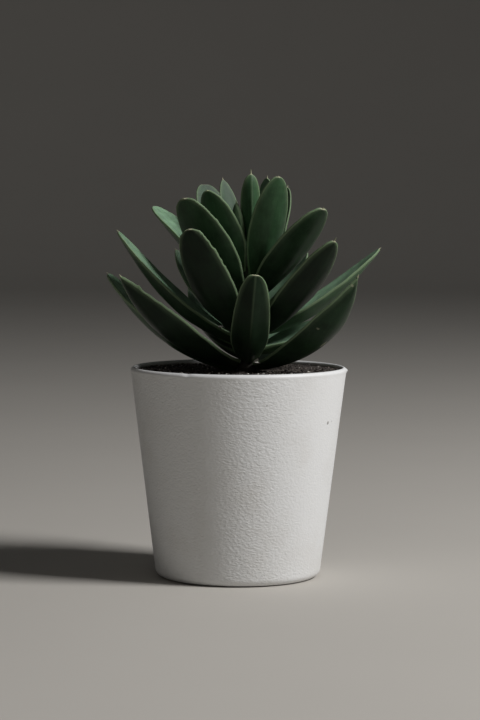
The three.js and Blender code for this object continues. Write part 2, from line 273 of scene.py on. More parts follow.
class HaworthiaSettings(PropertyGroup):
    """All the settings, one group for each part of the plant"""
    pot: PointerProperty(type=PotSettings)
    soil: PointerProperty(type=SoilSettings)
    stem: PointerProperty(type=StemSettings)
    leaf: PointerProperty(type=LeafSettings)
    stage: PointerProperty(type=StageSettings)


# ---- Node and mesh helpers -------------------------------

SMOOTH = {"interpolation_type": "SMOOTHSTEP"}  # a value that starts and stops gently

def set_inputs(tree, node, inputs):
    """Fills a node's inputs with values or links them to sockets, by name or in order."""
    named = inputs if isinstance(inputs, dict) else dict(enumerate(inputs))
    for key, value in named.items():
        if isinstance(value, bpy.types.NodeSocket):
            tree.links.new(value, node.inputs[key])
        else:
            node.inputs[key].default_value = value


def add_node(tree, kind, inputs=(), output=0, **settings):
    """Adds a node with its options and inputs, and gives an output, or the node for None."""
    node = tree.nodes.new(kind)
    for name, value in settings.items():
        setattr(node, name, value)
    set_inputs(tree, node, inputs)
    return node if output is None else node.outputs[output]


def new_material(name):
    """An empty material, with its shader and output joined up."""
    material = bpy.data.materials.new(name)
    material.use_nodes = True
    tree = material.node_tree
    tree.nodes.clear()
    shader = add_node(tree, "ShaderNodeBsdfPrincipled", output=None)
    add_node(tree, "ShaderNodeOutputMaterial", {"Surface": shader.outputs["BSDF"]}, None)
    return material, tree, shader


def painted(tree, base, layers):
    """The socket of a colour with others laid over it.

    Each layer has the value that it follows, where it begins to change and where it is done, how
    much of it shows before and after, if that isn't 0 and 1, and its colour. One with only a value
    and a colour shows by that value itself.
    """
    for part, *ends, shade in layers:
        if ends:
            part = add_node(tree, "ShaderNodeMapRange", (part, *ends), **SMOOTH)
        base = add_node(tree, "ShaderNodeMix", {0: part, 6: base, 7: rgba(shade)}, 2,
                        data_type="RGBA")
    return base


def rgba(values):
    """A colour with its alpha, as sockets want it."""
    return (*values, 1.0)


def link_mesh(bm, name, material, smooth=True):
    """Turns a bmesh into an object of the scene, and frees it."""
    mesh = bpy.data.meshes.new(name)
    bm.to_mesh(mesh)
    bm.free()
    mesh.polygons.foreach_set("use_smooth", [smooth] * len(mesh.polygons))
    mesh.materials.append(material)
    made = bpy.data.objects.new(name, mesh)
    bpy.context.scene.collection.objects.link(made)
    return made


def finish_piece(bm, name, material, node=None, smooth=True):
    """Turns a bmesh into a named piece that rides on the part."""
    piece = link_mesh(bm, name, material, smooth)
    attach(piece, "root")
    if node:
        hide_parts(node)


def spin_outline(outline, steps, rounds=(), spacing=None):
    """A closed body turned round the Z axis from an (r, z) outline.

    rounds gives, for a corner of the outline by its number, how far along its two edges the
    rounding reaches, in how many segments, and its fullness: 0.5 is round and 0.25 straight.
    spacing tells how long an edge of the outline may be, from its middle, before it is divided.
    """
    bm = bmesh.new()
    corners = [bm.verts.new((r, 0, z)) for r, z in outline]
    for pair in zip(corners, corners[1:]):
        bm.edges.new(pair)
    for number, reach, segments, fullness in rounds:
        bmesh.ops.bevel(bm, geom=[corners[number]], offset=reach, offset_type="OFFSET",
                        segments=segments, profile=fullness, affect="VERTICES", material=-1)
    for edge in bm.edges[:]:
        middle = (edge.verts[0].co + edge.verts[1].co) / 2
        cuts = math.ceil(edge.calc_length() / spacing(middle)) - 1 if spacing else 0
        if cuts > 0:
            bmesh.ops.subdivide_edges(bm, edges=[edge], cuts=cuts)
    bmesh.ops.spin(bm, geom=bm.verts[:] + bm.edges[:], cent=(0, 0, 0), axis=(0, 0, 1),
                   angle=FULL_TURN, steps=steps, use_merge=True)
    bmesh.ops.remove_doubles(bm, verts=bm.verts, dist=1e-6)
    bmesh.ops.recalc_face_normals(bm, faces=bm.faces)
    return bm


def smooth_step(value, start, end):
    """0 up to start, 1 from end on, and a smooth rise between them."""
    part = min(1.0, max(0.0, (value - start) / (end - start)))
    return part * part * (3 - 2 * part)


# ---- Pot -------------------------------------------------

POT_STEPS = 384
POT_FINE = 0.56 * MM              # spacing of the wall's rows, fine enough to carry the grain
POT_COARSE = 4 * MM               # inside and underneath
GRAIN_FROM = (0.5 * MM, 6 * MM)   # the grain begins between these heights
THIN_FROM = (6 * MM, 30 * MM)     # the finish has less grain to the right of here
THIN_SPRAY = 0.6                  # by this part
LIP_SMOOTH = 1.2                  # how far down the lip is smooth, in its outer roundings
LIP_WAVE = 0.05 * MM              # how uneven the lip is
LIP_WAVES = (9 * MM, 2.6 * MM)    # lengths of its long and short waves
TOOTH_TURN = (0, math.radians(40), 0)  # the fine tooth of the finish runs slantwise,
TOOTH_STRETCH = (0.62, 1, 1.15)        # longer one way than the other
POT_GLOSS = (0.72, 0.5)           # roughness of the wall and of the lip

# Marks that the pot carries, in millimetres. The chip and the scuffs are on its front, by how far
# right of the axis they are. The nub is a drop of glaze at the lip's right end. Each scuff is given
# by its place to the right, its height and its radius.
CHIP = {"right": -18.4, "size": 1.3, "depth": 0.32}
NUB = {"height": 76.2, "size": 0.8, "proud": 0.55}
SCUFFS = [(32.4, 58.6, 0.6), (33.9, 59.0, 0.25), (10.1, 66.5, 0.15), (-12, 41, 0.15)]


def wall_radius(pot, height):
    """Outside radius of the pot's straight wall."""
    top = POT_HIGH.x - pot.lip_proud
    return pot.foot_radius + (top - pot.foot_radius) * height / RIM_HEIGHT


def smooth_height(pot):
    """Height where the wall's grain gives way to the smooth lip."""
    return RIM_HEIGHT - LIP_SMOOTH * pot.lip_round


def grain(place, size):
    """Height of the sprayed finish at a place, about -1 to 1: rounded bumps that run together."""
    point = place / size
    wander = noise.noise(point * 0.45 + Vector((7.0, 3.0, 1.0)))
    bumps = noise.noise(point) + 0.55 * noise.noise(point * 1.9 + Vector((0.0, 5.0, 0.0)))
    return (0.75 + 0.6 * wander) * bumps


def scuffed(tree, pot, base, place, fleck):
    """The finish's colour with the small dark scuffs on it."""
    for right, up, size in SCUFFS:
        spot = front_place(pot, right * MM, up * MM)
        away = add_node(tree, "ShaderNodeVectorMath", (place, spot), "Value", operation="DISTANCE")
        ragged = add_node(tree, "ShaderNodeMath", (fleck, 0.9 * MM, away),
                          operation="MULTIPLY_ADD")
        ends = ((size + 0.25) * MM, (size + 0.65) * MM, 0.75, 0)
        base = painted(tree, base, [(ragged, *ends, pot.scuff)])
    return base


def shaded_inside(tree, pot, base, place, height, cloud):
    """The finish's colour darkened on the inside of the wall, up to the foot of the lip: painted
    shade.
    """
    flat = add_node(tree, "ShaderNodeVectorMath", (place, (1, 1, 0)), operation="MULTIPLY")
    from_axis = add_node(tree, "ShaderNodeVectorMath", (flat,), "Value", operation="LENGTH")
    slope = (POT_HIGH.x - pot.foot_radius) / RIM_HEIGHT
    beyond = add_node(tree, "ShaderNodeMath", (height, -slope, from_axis),
                      operation="MULTIPLY_ADD")
    ends = (pot.foot_radius - 1.5 * MM, pot.foot_radius - 1.1 * MM, 1, 0)
    inside = add_node(tree, "ShaderNodeMapRange", (beyond, *ends), **SMOOTH)
    ragged = add_node(tree, "ShaderNodeMath", (cloud, 1.6 * MM, height), operation="MULTIPLY_ADD")
    ends = (RIM_HEIGHT - 0.9 * MM, RIM_HEIGHT - 0.1 * MM, 0.9, 0)
    low = add_node(tree, "ShaderNodeMapRange", (ragged, *ends), **SMOOTH)
    part = add_node(tree, "ShaderNodeMath", (inside, low), operation="MULTIPLY")
    return painted(tree, base, [(part, pot.inner_shade)])


def matt_glaze(pot):
    """Matt glaze sprayed on slip-cast stoneware: white, dry to the eye, with an orange-peel grain.

    The grain's larger bumps are in the mesh. The bump here is the powdery tooth between them, and
    the colour drifts a little where dust and hands have been.
    """
    material, tree, shader = new_material("matt_sprayed_glaze")
    place = add_node(tree, "ShaderNodeTexCoord", output="Object")
    right, _, height = add_node(tree, "ShaderNodeSeparateXYZ", (place,), None).outputs
    cloud = add_node(tree, "ShaderNodeTexNoise",
                     {"Vector": place, "Scale": 1 / (22 * MM), "Detail": 4, "Roughness": 0.6})
    fleck = add_node(tree, "ShaderNodeTexNoise",
                     {"Vector": place, "Scale": 1 / (1.1 * MM), "Detail": 2, "Roughness": 0.5})
    base = painted(tree, rgba(pot.body), [(cloud, 0.42, 0.78, 0, 0.3, pot.stain),
                                          (fleck, 0.66, 0.8, 0, 0.22, pot.stain)])
    base = scuffed(tree, pot, base, place, fleck)
    # Painted shade on the inside of the wall
    base = shaded_inside(tree, pot, base, place, height, cloud)
    ends = (smooth_height(pot) - 0.6 * MM, smooth_height(pot))
    lip = add_node(tree, "ShaderNodeMapRange", (height, *ends), **SMOOTH)
    wall_gloss, lip_gloss = POT_GLOSS
    rough = add_node(tree, "ShaderNodeMix", {0: lip, 2: wall_gloss, 3: lip_gloss}, data_type="FLOAT")
    run = add_node(tree, "ShaderNodeMapping",
                   {"Vector": place, "Rotation": TOOTH_TURN, "Scale": TOOTH_STRETCH})
    tooth = add_node(tree, "ShaderNodeTexNoise",
                     {"Vector": run, "Scale": 1 / (0.75 * MM), "Detail": 2.5, "Roughness": 0.5})
    ends = (*THIN_FROM, 0.9, 0.9 * (1 - THIN_SPRAY))
    sprayed = add_node(tree, "ShaderNodeMapRange", (right, *ends), **SMOOTH)
    strength = add_node(tree, "ShaderNodeMix", {0: lip, 2: sprayed, 3: 0.04}, data_type="FLOAT")
    bump = add_node(tree, "ShaderNodeBump",
                    {"Strength": strength, "Distance": 0.28 * MM, "Height": tooth})
    set_inputs(tree, shader, {"Base Color": base, "Roughness": rough, "IOR": 1.5, "Normal": bump})
    return material


def front_place(pot, right, height):
    """The point on the pot's front that lies right of its axis by that much, at that height."""
    radius = wall_radius(pot, height)
    return Vector((right, -math.sqrt(radius ** 2 - right ** 2), height))


def finish_grain(pot, place):
    """How far the sprayed finish stands out at a place on the wall."""
    smooth_from = smooth_height(pot)
    shown = smooth_step(place.z, *GRAIN_FROM)
    shown *= 1 - smooth_step(place.z, smooth_from - 0.8 * MM, smooth_from)
    shown *= 1 - THIN_SPRAY * smooth_step(place.x, *THIN_FROM)
    return pot.grain_height * shown * grain(place, pot.grain_size)


def model_pot(pot):
    """The pot with its lip, its rounded foot, its grain, and the chip and nub on its rim."""
    rim = POT_HIGH.x
    lip_foot = RIM_HEIGHT - pot.lip_height
    inside = rim - pot.lip_wall
    neck = lip_foot - pot.lip_height
    outline = [
        (0, 0), (pot.foot_radius, 0), (wall_radius(pot, lip_foot), lip_foot), (rim, RIM_HEIGHT),
        (inside, RIM_HEIGHT), (inside, lip_foot), (wall_radius(pot, neck) - pot.wall, neck),
        (wall_radius(pot, pot.floor) - pot.wall, pot.floor), (0, pot.floor),
    ]
    rounds = [(1, pot.foot_round, 7, 0.5), (3, pot.lip_round, 6, 0.37), (4, pot.lip_inner, 5, 0.4)]

    def spacing(middle):
        outside = middle.x > wall_radius(pot, middle.z) - 0.5 * pot.wall
        return POT_FINE if outside or middle.z > lip_foot else POT_COARSE

    bm = spin_outline(outline, POT_STEPS, rounds, spacing)
    chip = front_place(pot, CHIP["right"] * MM, RIM_HEIGHT)
    nub = Vector((rim, 0, NUB["height"] * MM))
    long_wave, short_wave = LIP_WAVES
    for vert in bm.verts:
        place = vert.co.copy()
        outward = Vector((place.x, place.y, 0))
        if outward.length < 1e-6:
            continue
        radius = outward.length
        outward.normalize()
        if radius > wall_radius(pot, place.z) - 0.3 * MM and place.z < RIM_HEIGHT:
            vert.co += outward * finish_grain(pot, place)
        if place.z > neck:
            uneven = noise.noise(place / long_wave) + 0.5 * noise.noise(place / short_wave)
            vert.co += outward * (LIP_WAVE * uneven)
            dent = math.exp(-((place - chip).length / (CHIP["size"] * MM)) ** 2)
            vert.co += (Vector((0, 0, -1)) - outward * 0.7) * (CHIP["depth"] * MM * dent)
            rise = math.exp(-((place - nub).length / (NUB["size"] * MM)) ** 2)
            vert.co += outward * (NUB["proud"] * MM * rise)
    finish_piece(bm, "pot_body", matt_glaze(pot), "pot")


# ---- Soil ------------------------------------------------


SOIL_STEPS = 180
SOIL_FINE = 0.64 * MM             # spacing of the rings across the soil's surface
SOIL_COARSE = 12 * MM             # down its side and underneath
SOIL_LUMPS = {"x": 0.31, "y": 0.27, "slant_x": 0.17, "slant_y": 0.41}  # lumps per mm, as angles
LUMP_START = 0.9                  # where the first lump begins, as an angle
CRUMBLY = (0.3 * MM, 1.6)         # height of the surface's fine crumbs and, in mm, their length
CRUMB_SIZES = (0.5, 2.0)          # smallest and largest crumb, as parts of the middling radius
GRIT_SIZES = (0.14 * MM, 0.7 * MM)
CRUMB_RAGGED = 0.28               # how uneven a grain is, as a part of its radius
GRIT_RAGGED = 0.12

# Millimetres. White grains lie closest together round this place: its x and y, how widely they
# spread and how many they are. The larger grains are flat flakes, by their place and radius, that
# make two painted highlights: one lies before the foot of the front leaf and the other is caught
# between two leaves.
GRIT_PATCH = ((11, -16), (6, 4), 90)
GLINT_GRAINS = [((7.0, -7.4, 79.5), 0.85), ((-6.6, -4, 92.4), 0.75)]
FLAKE = (1.5, 1, 0.45)            # how far a flake is stretched along x, y and z


def soil_height(soil, place, radius):
    """Height of the potting mix's surface: dished, lumpy and crumbly."""
    out = min(1.0, math.hypot(place.x, place.y) / radius)
    x, y = place.x / MM, place.y / MM
    square = math.sin(SOIL_LUMPS["x"] * x + LUMP_START) * math.cos(SOIL_LUMPS["y"] * y)
    slanting = math.sin(SOIL_LUMPS["slant_x"] * x - SOIL_LUMPS["slant_y"] * y)
    lumps = soil.relief * (square + slanting) * (1 - out ** 6)
    fine_height, fine_length = CRUMBLY
    crumbly = fine_height * noise.noise(Vector((x, y, 0)) / fine_length)
    return RIM_HEIGHT - soil.below_rim - soil.dish * (1 - out * out) + lumps + crumbly


def potting_mix(soil):
    """Damp peat with bark and fibre: near-black, dull, with a fine broken tooth."""
    material, tree, shader = new_material("damp_peat_mix")
    place = add_node(tree, "ShaderNodeTexCoord", output="Object")
    clod = add_node(tree, "ShaderNodeTexNoise",
                    {"Vector": place, "Scale": 1 / (3 * MM), "Detail": 6, "Roughness": 0.7})
    fibre = add_node(tree, "ShaderNodeTexNoise",
                     {"Vector": place, "Scale": 1 / (0.9 * MM), "Detail": 3, "Roughness": 0.6})
    # Bark in the peat, and painted shade in the hollows where the fibre bump is low
    base = painted(tree, rgba(soil.peat), [(clod, 0.45, 0.75, soil.bark),
                                           (fibre, 0.3, 0.55, 0.55, 0, soil.hollow_shade)])
    rough = add_node(tree, "ShaderNodeMapRange", (fibre, 0.3, 0.7, 0.98, 0.62), **SMOOTH)
    bump = add_node(tree, "ShaderNodeBump",
                    {"Strength": 0.8, "Distance": 0.25 * MM, "Height": fibre})
    set_inputs(tree, shader, {"Base Color": base, "Roughness": rough, "Normal": bump})
    return material


def perlite(soil):
    """Perlite: puffed volcanic glass, chalk white and pitted."""
    material, tree, shader = new_material("perlite_grain")
    place = add_node(tree, "ShaderNodeTexCoord", output="Object")
    pit = add_node(tree, "ShaderNodeTexNoise",
                   {"Vector": place, "Scale": 1 / (0.5 * MM), "Detail": 3, "Roughness": 0.6})
    base = painted(tree, rgba(soil.perlite), [(pit, 0.35, 0.6, 0.45, 0, soil.bark)])
    bump = add_node(tree, "ShaderNodeBump", {"Strength": 0.7, "Distance": 0.12 * MM, "Height": pit})
    set_inputs(tree, shader, {"Base Color": base, "Roughness": 0.85, "Normal": bump})
    return material


def model_soil(soil, pot, material):
    """The body of the potting mix, with its crumbly top, in the space inside the pot."""
    low = SOIL_LOW.z
    edge = RIM_HEIGHT - soil.below_rim
    surface = edge - 0.01 * MM
    top_radius = SOIL_HIGH.x
    bottom_radius = wall_radius(pot, low) - pot.wall - CLEARANCE
    neck = RIM_HEIGHT - 2 * pot.lip_height
    neck_radius = wall_radius(pot, neck) - pot.wall - CLEARANCE
    outline = [(0, low), (bottom_radius, low), (neck_radius, neck), (top_radius, edge), (0, edge)]

    def spacing(middle):
        return SOIL_FINE if middle.z > surface else SOIL_COARSE

    bm = spin_outline(outline, SOIL_STEPS, spacing=spacing)
    for vert in bm.verts:
        if vert.co.z > surface:
            vert.co.z = soil_height(soil, vert.co, top_radius)
    finish_piece(bm, "potting_soil", material, "soil")


def scatter(soil, count, draw, sizes, ragged, patch=None):
    """Grains on the soil, in one bmesh, each an icosphere turned, stretched and made ragged.

    sizes are the smallest and largest radius. patch gives a place, how widely grains spread round
    it in x and in y, and how many do.
    """
    bm = bmesh.new()
    top_radius = SOIL_HIGH.x
    low, high = sizes
    while count > 0:
        x = draw.uniform(-top_radius, top_radius)
        y = draw.uniform(-top_radius, top_radius)
        if patch and count <= patch[2]:
            x, y = (draw.gauss(middle, spread) * MM for middle, spread in zip(*patch[:2]))
        size = low * (high / low) ** (draw.random() ** 1.7)
        from_stem = math.hypot(x - STEM_X, y)
        if math.hypot(x, y) > top_radius - size * 1.2 or from_stem < STEM_RADIUS + size * 1.3:
            continue
        count -= 1
        ground = Vector((x, y, 0))
        ground.z = soil_height(soil, ground, top_radius) + size * draw.uniform(-0.2, 0.45)
        stretch = [draw.uniform(*span) for span in ((0.7, 1.5), (0.6, 1.1), (0.5, 0.9))]
        turn = Euler([draw.uniform(*span) for span in ((-0.7, 0.7), (-0.7, 0.7), (0, FULL_TURN))])
        matrix = Matrix.Translation(ground) @ turn.to_matrix().to_4x4()
        matrix = matrix @ Matrix.Diagonal((*stretch, 1))
        made = bmesh.ops.create_icosphere(bm, subdivisions=1, radius=size, matrix=matrix)
        for vert in made["verts"]:
            vert.co += (vert.co - ground) * draw.uniform(-ragged, ragged)
    return bm


def add_flakes(bm):
    """Adds the larger white grains, two painted highlights, to a bmesh."""
    for place, size in GLINT_GRAINS:
        matrix = Matrix.Translation(Vector(place) * MM) @ Matrix.Diagonal((*FLAKE, 1))
        bmesh.ops.create_icosphere(bm, subdivisions=3, radius=size * MM, matrix=matrix)


# ---- Stem ------------------------------------------------


STEM_STEPS = 56
STEM_FINE = 0.5 * MM              # spacing of the stem's rows
STEM_TIP = 1 * MM                 # height of the cone that ends the stem
STEM_END = (0.8 * MM, 2 * MM)     # how much narrower its bottom end is, and over what height
SCARS_FROM = RIM_HEIGHT - 8 * MM  # the leaf scars begin under the soil
STEM_ROUGH = (0.1 * MM, 1.5 * MM)  # height and length of the skin's unevenness
STEM_STREAKS = (0.8 * MM, 0.8 * MM, 6 * MM)  # size of a streak along x, y and z


def stem_tissue(stem):
    """Fleshy stem: greyed bark low down, green and waxy near the crown, with faint streaks."""
    material, tree, shader = new_material("fleshy_stem")
    place = add_node(tree, "ShaderNodeTexCoord", output="Object")
    height = add_node(tree, "ShaderNodeSeparateXYZ", (place,), 2)
    drawn_out = add_node(tree, "ShaderNodeMapping",
                         {"Vector": place, "Scale": [1 / size for size in STEM_STREAKS]})
    streak = add_node(tree, "ShaderNodeTexNoise",
                      {"Vector": drawn_out, "Scale": 1, "Detail": 4, "Roughness": 0.6})
    # Bark low down, green higher up, both darkened as painted shade under the leaves
    base = painted(tree, rgba(stem.bark), [
        (height, RIM_HEIGHT, RIM_HEIGHT + 30 * MM, stem.green),
        (streak, 0.35, 0.65, 0.6, 0, stem.streak),
    ])
    bump = add_node(tree, "ShaderNodeBump",
                    {"Strength": 0.5, "Distance": 0.2 * MM, "Height": streak})
    set_inputs(tree, shader, {"Base Color": base, "Roughness": 0.7, "Normal": bump})
    return material


def model_stem(stem):
    """The stem, with the low collars that shed and living leaves leave round it."""
    foot = STEM_LOW.z
    narrower, end_height = STEM_END
    radius = STEM_RADIUS - stem.scar_height
    outline = [
        (0, foot), (radius - narrower, foot), (radius, foot + end_height),
        (radius, RIM_HEIGHT + stem.shoulder), (stem.top_radius, STEM_HIGH.z - STEM_TIP),
        (0, STEM_HIGH.z),
    ]
    bm = spin_outline(outline, STEM_STEPS, spacing=lambda middle: STEM_FINE)
    rough_height, rough_length = STEM_ROUGH
    for vert in bm.verts:
        outward = Vector((vert.co.x, vert.co.y, 0))
        if outward.length < 1e-6 or vert.co.z < SCARS_FROM:
            continue
        turn = math.atan2(outward.y, outward.x) / FULL_TURN
        place = (vert.co.z / stem.scar_step + 2 * turn) % 1
        collar = smooth_step(place, 0.05, 0.3) * (1 - smooth_step(place, 0.35, 1.0))
        rough = rough_height * noise.noise(vert.co / rough_length)
        vert.co += outward.normalized() * (stem.scar_height * collar + rough)
    bmesh.ops.translate(bm, verts=bm.verts, vec=(STEM_X, 0, 0))
    finish_piece(bm, "leaf_stem", stem_tissue(stem), "stem")


# ---- Leaves ----------------------------------------------

LEAF_ROUND = 64                   # points round a leaf
LEAF_ROWS = 96                    # rows from its base to its point
POINT_ROWS = 8                    # the last rows, which the point takes
LEAF_BLADE = 0.997                # part of the midrib that the blade covers before the point
LEAF_CROWDING = 0.9               # below 1 the rows lie closer together at the tip
SWELL_POWER = 1.3                 # how hollow the outline is between the base and the belly
SHOULDER_POWER = 2.2              # how full the outline is past the belly
CUP_SPAN = (0.15, 0.8)            # start and length of the part of a sine wave that the hollow follows
KEEL_LEAST = 0.6                  # thickness at both ends of a leaf, as a part of the middle's
KEEL_TAPER = 0.6                  # how late the keel runs out at the tip
KEEL_RIDGE = (0.25, 0.4)          # sharpness of the keel, and what a leaf's ridge adds to it
KEEL_SOFT = 0.003                 # rounds the keel's own edge
TWIST_REACHED_AT = 0.6            # part of the leaf over which it turns to its full twist
MARGIN_FROM = (0.55, 1.0)         # the margin's waves grow between these parts of the half width
TIP_FROM = (0.55, 0.95)           # and its small waves between these parts of the length
TONE_DRIFT = 0.12                 # how far leaves differ in tone of themselves
NARROW = (0.5, 3)                 # below these half widths in mm the unevenness fades

# Millimetres
BASE_POLE = 1.1                   # how far the base's end stands back from the midrib's start
POINT_RADIUS = 0.3                # of the point, at its foot
RUFFLES = (1.7, 0.7)              # lengths of the small waves in the margin
LONG_WAVE = 7                     # length of its long waves and of the lumps in the surface
LONG_WAVE_HEIGHT = 0.3
MARGINS_APART = 3.1               # gives the two margins waves of their own
KEEL_BEAD = (0.16, 0.5)           # height and half width of the bead along the keel
# The pale line along the keel is a painted highlight
KEEL_HIGHLIGHT_WIDTH = 0.55                  # half width of the pale line along the keel

# What the material reads at each point besides its place on the leaf
LEAF_LAYERS = ("from_margin", "upper_face", "keel_and_highlight", "along", "tone", "mark")
LEAF_VEINS = (0.9 * MM, 9 * MM, 3 * MM)  # size of a vein across, along and into the leaf


def half_width(leaf, along):
    """Half width in mm at a place along the leaf, from 0 at the stem to 1 at the tip."""
    if along < leaf.belly:
        swell = math.sin(math.pi / 2 * along / leaf.belly) ** SWELL_POWER
        return leaf.width / 2 * (leaf.base + (1 - leaf.base) * swell)
    past = (along - leaf.belly) / (1 - leaf.belly)
    return leaf.width / 2 * max(0.0, 1 - past ** SHOULDER_POWER) ** (1 / leaf.blunt)


def midrib(leaf, along):
    """The midrib's point and the leaf's forward, across and up directions at a place along it."""
    bearing = math.radians(leaf.bearing)
    outward = Vector((math.sin(bearing), -math.cos(bearing), 0))
    sideways = Vector((math.cos(bearing), math.sin(bearing), 0))
    start = Vector((leaf.root + CLEARANCE / MM, leaf.seat))
    end = Vector((leaf.reach, leaf.tip))
    chord = end - start
    bend = start + chord * leaf.knee + Vector((chord.y, -chord.x)) * leaf.bow
    rest = 1 - along
    at = start * rest ** 2 + bend * (2 * rest * along) + end * along ** 2
    slope = ((bend - start) * rest + (end - bend) * along).normalized()
    point = Vector((STEM_X / MM, 0, RIM_HEIGHT / MM + at.y))
    point += outward * at.x + sideways * (leaf.sweep * along ** 2)
    forward = outward * slope.x + Vector((0, 0, slope.y))
    forward += sideways * (2 * leaf.sweep * along / chord.length)
    forward.normalize()
    across = (sideways - forward * sideways.dot(forward)).normalized()
    turn = math.radians(leaf.twist) * min(1.0, along / TWIST_REACHED_AT)
    across = Matrix.Rotation(turn, 3, forward) @ across
    return point, forward, across, forward.cross(across)


def section(leaf, leaves, along, angle, half):
    """A point of the leaf's section: how far across it is, as a part, and its height in mm."""
    across = math.cos(angle)
    rim = min(leaves.edge / MM, 1.4 * half) / 2
    from_rim = min(1.0, half * (1 - abs(across)) / rim)
    edge = rim * math.sqrt(max(0.0, 1 - (1 - from_rim) ** 2))
    fullness = half / (leaf.width / 2)
    cup = leaves.cup / MM * fullness * math.sin(math.pi * (CUP_SPAN[0] + CUP_SPAN[1] * along))
    if math.sin(angle) > 0:
        return across, edge - cup * (1 - across ** 2)
    taper = max(0.0, 1 - along ** 3) ** KEEL_TAPER
    middle = KEEL_LEAST + (1 - KEEL_LEAST) * math.sin(math.pi * along)
    depth = leaves.depth / MM * leaf.depth * middle * taper
    keel = KEEL_RIDGE[0] + KEEL_RIDGE[1] * leaf.keel_and_highlight
    rise = keel * math.sqrt(across ** 2 + KEEL_SOFT) + (1 - keel) * across ** 2
    return across, -edge - (depth + cup / 2) * max(0.0, 1 - rise)


def leaf_rows(leaf):
    """Each row's place along the blade and up the point, its half width, and the midrib there."""
    last = LEAF_ROWS - POINT_ROWS
    rows = []
    for row in range(LEAF_ROWS + 1):
        spread = min(1.0, max(0.0, (row - 1) / (last - 1)))
        along = LEAF_BLADE * (0.5 - 0.5 * math.cos(math.pi * spread ** LEAF_CROWDING))
        pointed = max(0.0, (row - last) / POINT_ROWS)
        rows.append((along, pointed, max(half_width(leaf, along), POINT_RADIUS), midrib(leaf, along)))
    return rows


def blade_place(leaf, leaves, drift, row, at, angle, across, height):
    """A point of the blade with the unevenness of a grown leaf, and its place in the section."""
    along, _, half, (point, forward, side, up) = row
    upper = math.sin(angle) > 0
    near_rim = smooth_step(abs(across), *MARGIN_FROM)
    near_tip = smooth_step(along, *TIP_FROM)
    hand = math.copysign(MARGINS_APART, across)
    long_ruffle, short_ruffle = RUFFLES
    ruffle = 2 * noise.noise(drift + Vector((at / long_ruffle, hand, 0)))
    ruffle += noise.noise(drift + Vector((at / short_ruffle, across * half / short_ruffle, 4)))
    wave = noise.noise(drift + Vector((at / LONG_WAVE, hand, 8)))
    height += near_rim * (leaf.crinkle * near_tip * ruffle + LONG_WAVE_HEIGHT * wave)
    across *= 1 + near_rim * leaf.crinkle * (0.25 + near_tip) * ruffle / (2 * max(half, 2))
    lump = noise.noise(Vector((across * half, at, 9.0 if upper else 0.0)) / LONG_WAVE + drift)
    height += leaves.bumps / MM * lump * (1 - near_rim) * smooth_step(half, *NARROW)
    if not upper:
        bead, bead_width = KEEL_BEAD
        height -= bead * leaf.keel_and_highlight * math.exp(-(across * half / bead_width) ** 2) * (1 - along)
    place = point + side * (across * half) + up * height
    place += forward * (0.6 * leaf.crinkle * near_tip * near_rim * ruffle)
    return place, across, height


def point_place(leaf, row, angle):
    """A point of the small dry point that ends a leaf."""
    _, pointed, _, (point, forward, side, up) = row
    thin = POINT_RADIUS * (1 - pointed) ** 0.8
    place = point + forward * (leaf.spike * pointed)
    return place + side * (math.cos(angle) * thin) + up * (math.sin(angle) * thin * 0.8)


def scarred(leaf, span, along, off_midrib):
    """How far a place on a leaf's back lies within its pale scars."""
    total = 0.0
    for off, part, size in leaf.marks:
        away = math.hypot(off_midrib - off, (along - part) * span)
        total += math.exp(-(away / size) ** 2)
    return total


def model_leaf(leaf, number, leaves, material):
    """One leaf: a sphere's rows drawn out along the midrib, with the last rows as its point."""
    bm = bmesh.new()
    bmesh.ops.create_uvsphere(bm, u_segments=LEAF_ROUND, v_segments=LEAF_ROWS, radius=1)
    place_layer = bm.verts.layers.float_vector.new("leaf_place")
    layers = [bm.verts.layers.float.new(name) for name in LEAF_LAYERS]
    drift = Vector((number * 3.7, number * 1.3, 0))
    # Painted light and shade set for this leaf, with a small random drift of its own colour
    tone = leaf.tone * (1 + TONE_DRIFT * noise.noise(drift))
    span = math.hypot(leaf.reach - leaf.root, leaf.tip - leaf.seat)
    rows = leaf_rows(leaf)
    for vert in bm.verts:
        number_of_row = round(math.acos(max(-1.0, min(1.0, vert.co.z))) / math.pi * LEAF_ROWS)
        row = rows[number_of_row]
        angle = math.atan2(vert.co.y, vert.co.x)
        along, pointed, half, (point, forward, _, _) = row
        across, height = section(leaf, leaves, along, angle, half)
        if number_of_row == 0:
            place = point - forward * BASE_POLE
            across = 0.0
        elif pointed > 0:
            place = point_place(leaf, row, angle)
        else:
            place, across, height = blade_place(leaf, leaves, drift, row, along * span, angle,
                                                across, height)
        back = math.sin(angle) <= 0
        off_midrib = across * half
        # A painted highlight line along the keel, on the back only
        keel = math.exp(-(off_midrib / KEEL_HIGHLIGHT_WIDTH) ** 2) * leaf.keel_and_highlight * smooth_step(along, 0.2, 0.7)
        values = (
            max(0.0, half * (1 - abs(across))) * MM, 0.5 + 0.5 * math.sin(angle),
            keel if back else 0.0, along + pointed, tone,
            scarred(leaf, span, along, off_midrib) if back else 0.0,
        )
        vert.co = place * MM
        vert[place_layer] = Vector((off_midrib, along * span, height)) * MM
        for layer, value in zip(layers, values):
            vert[layer] = value
    bmesh.ops.recalc_face_normals(bm, faces=bm.faces)
    name = f"leaf_{number:02d}"
    finish_piece(bm, f"{name}_blade", material, name)


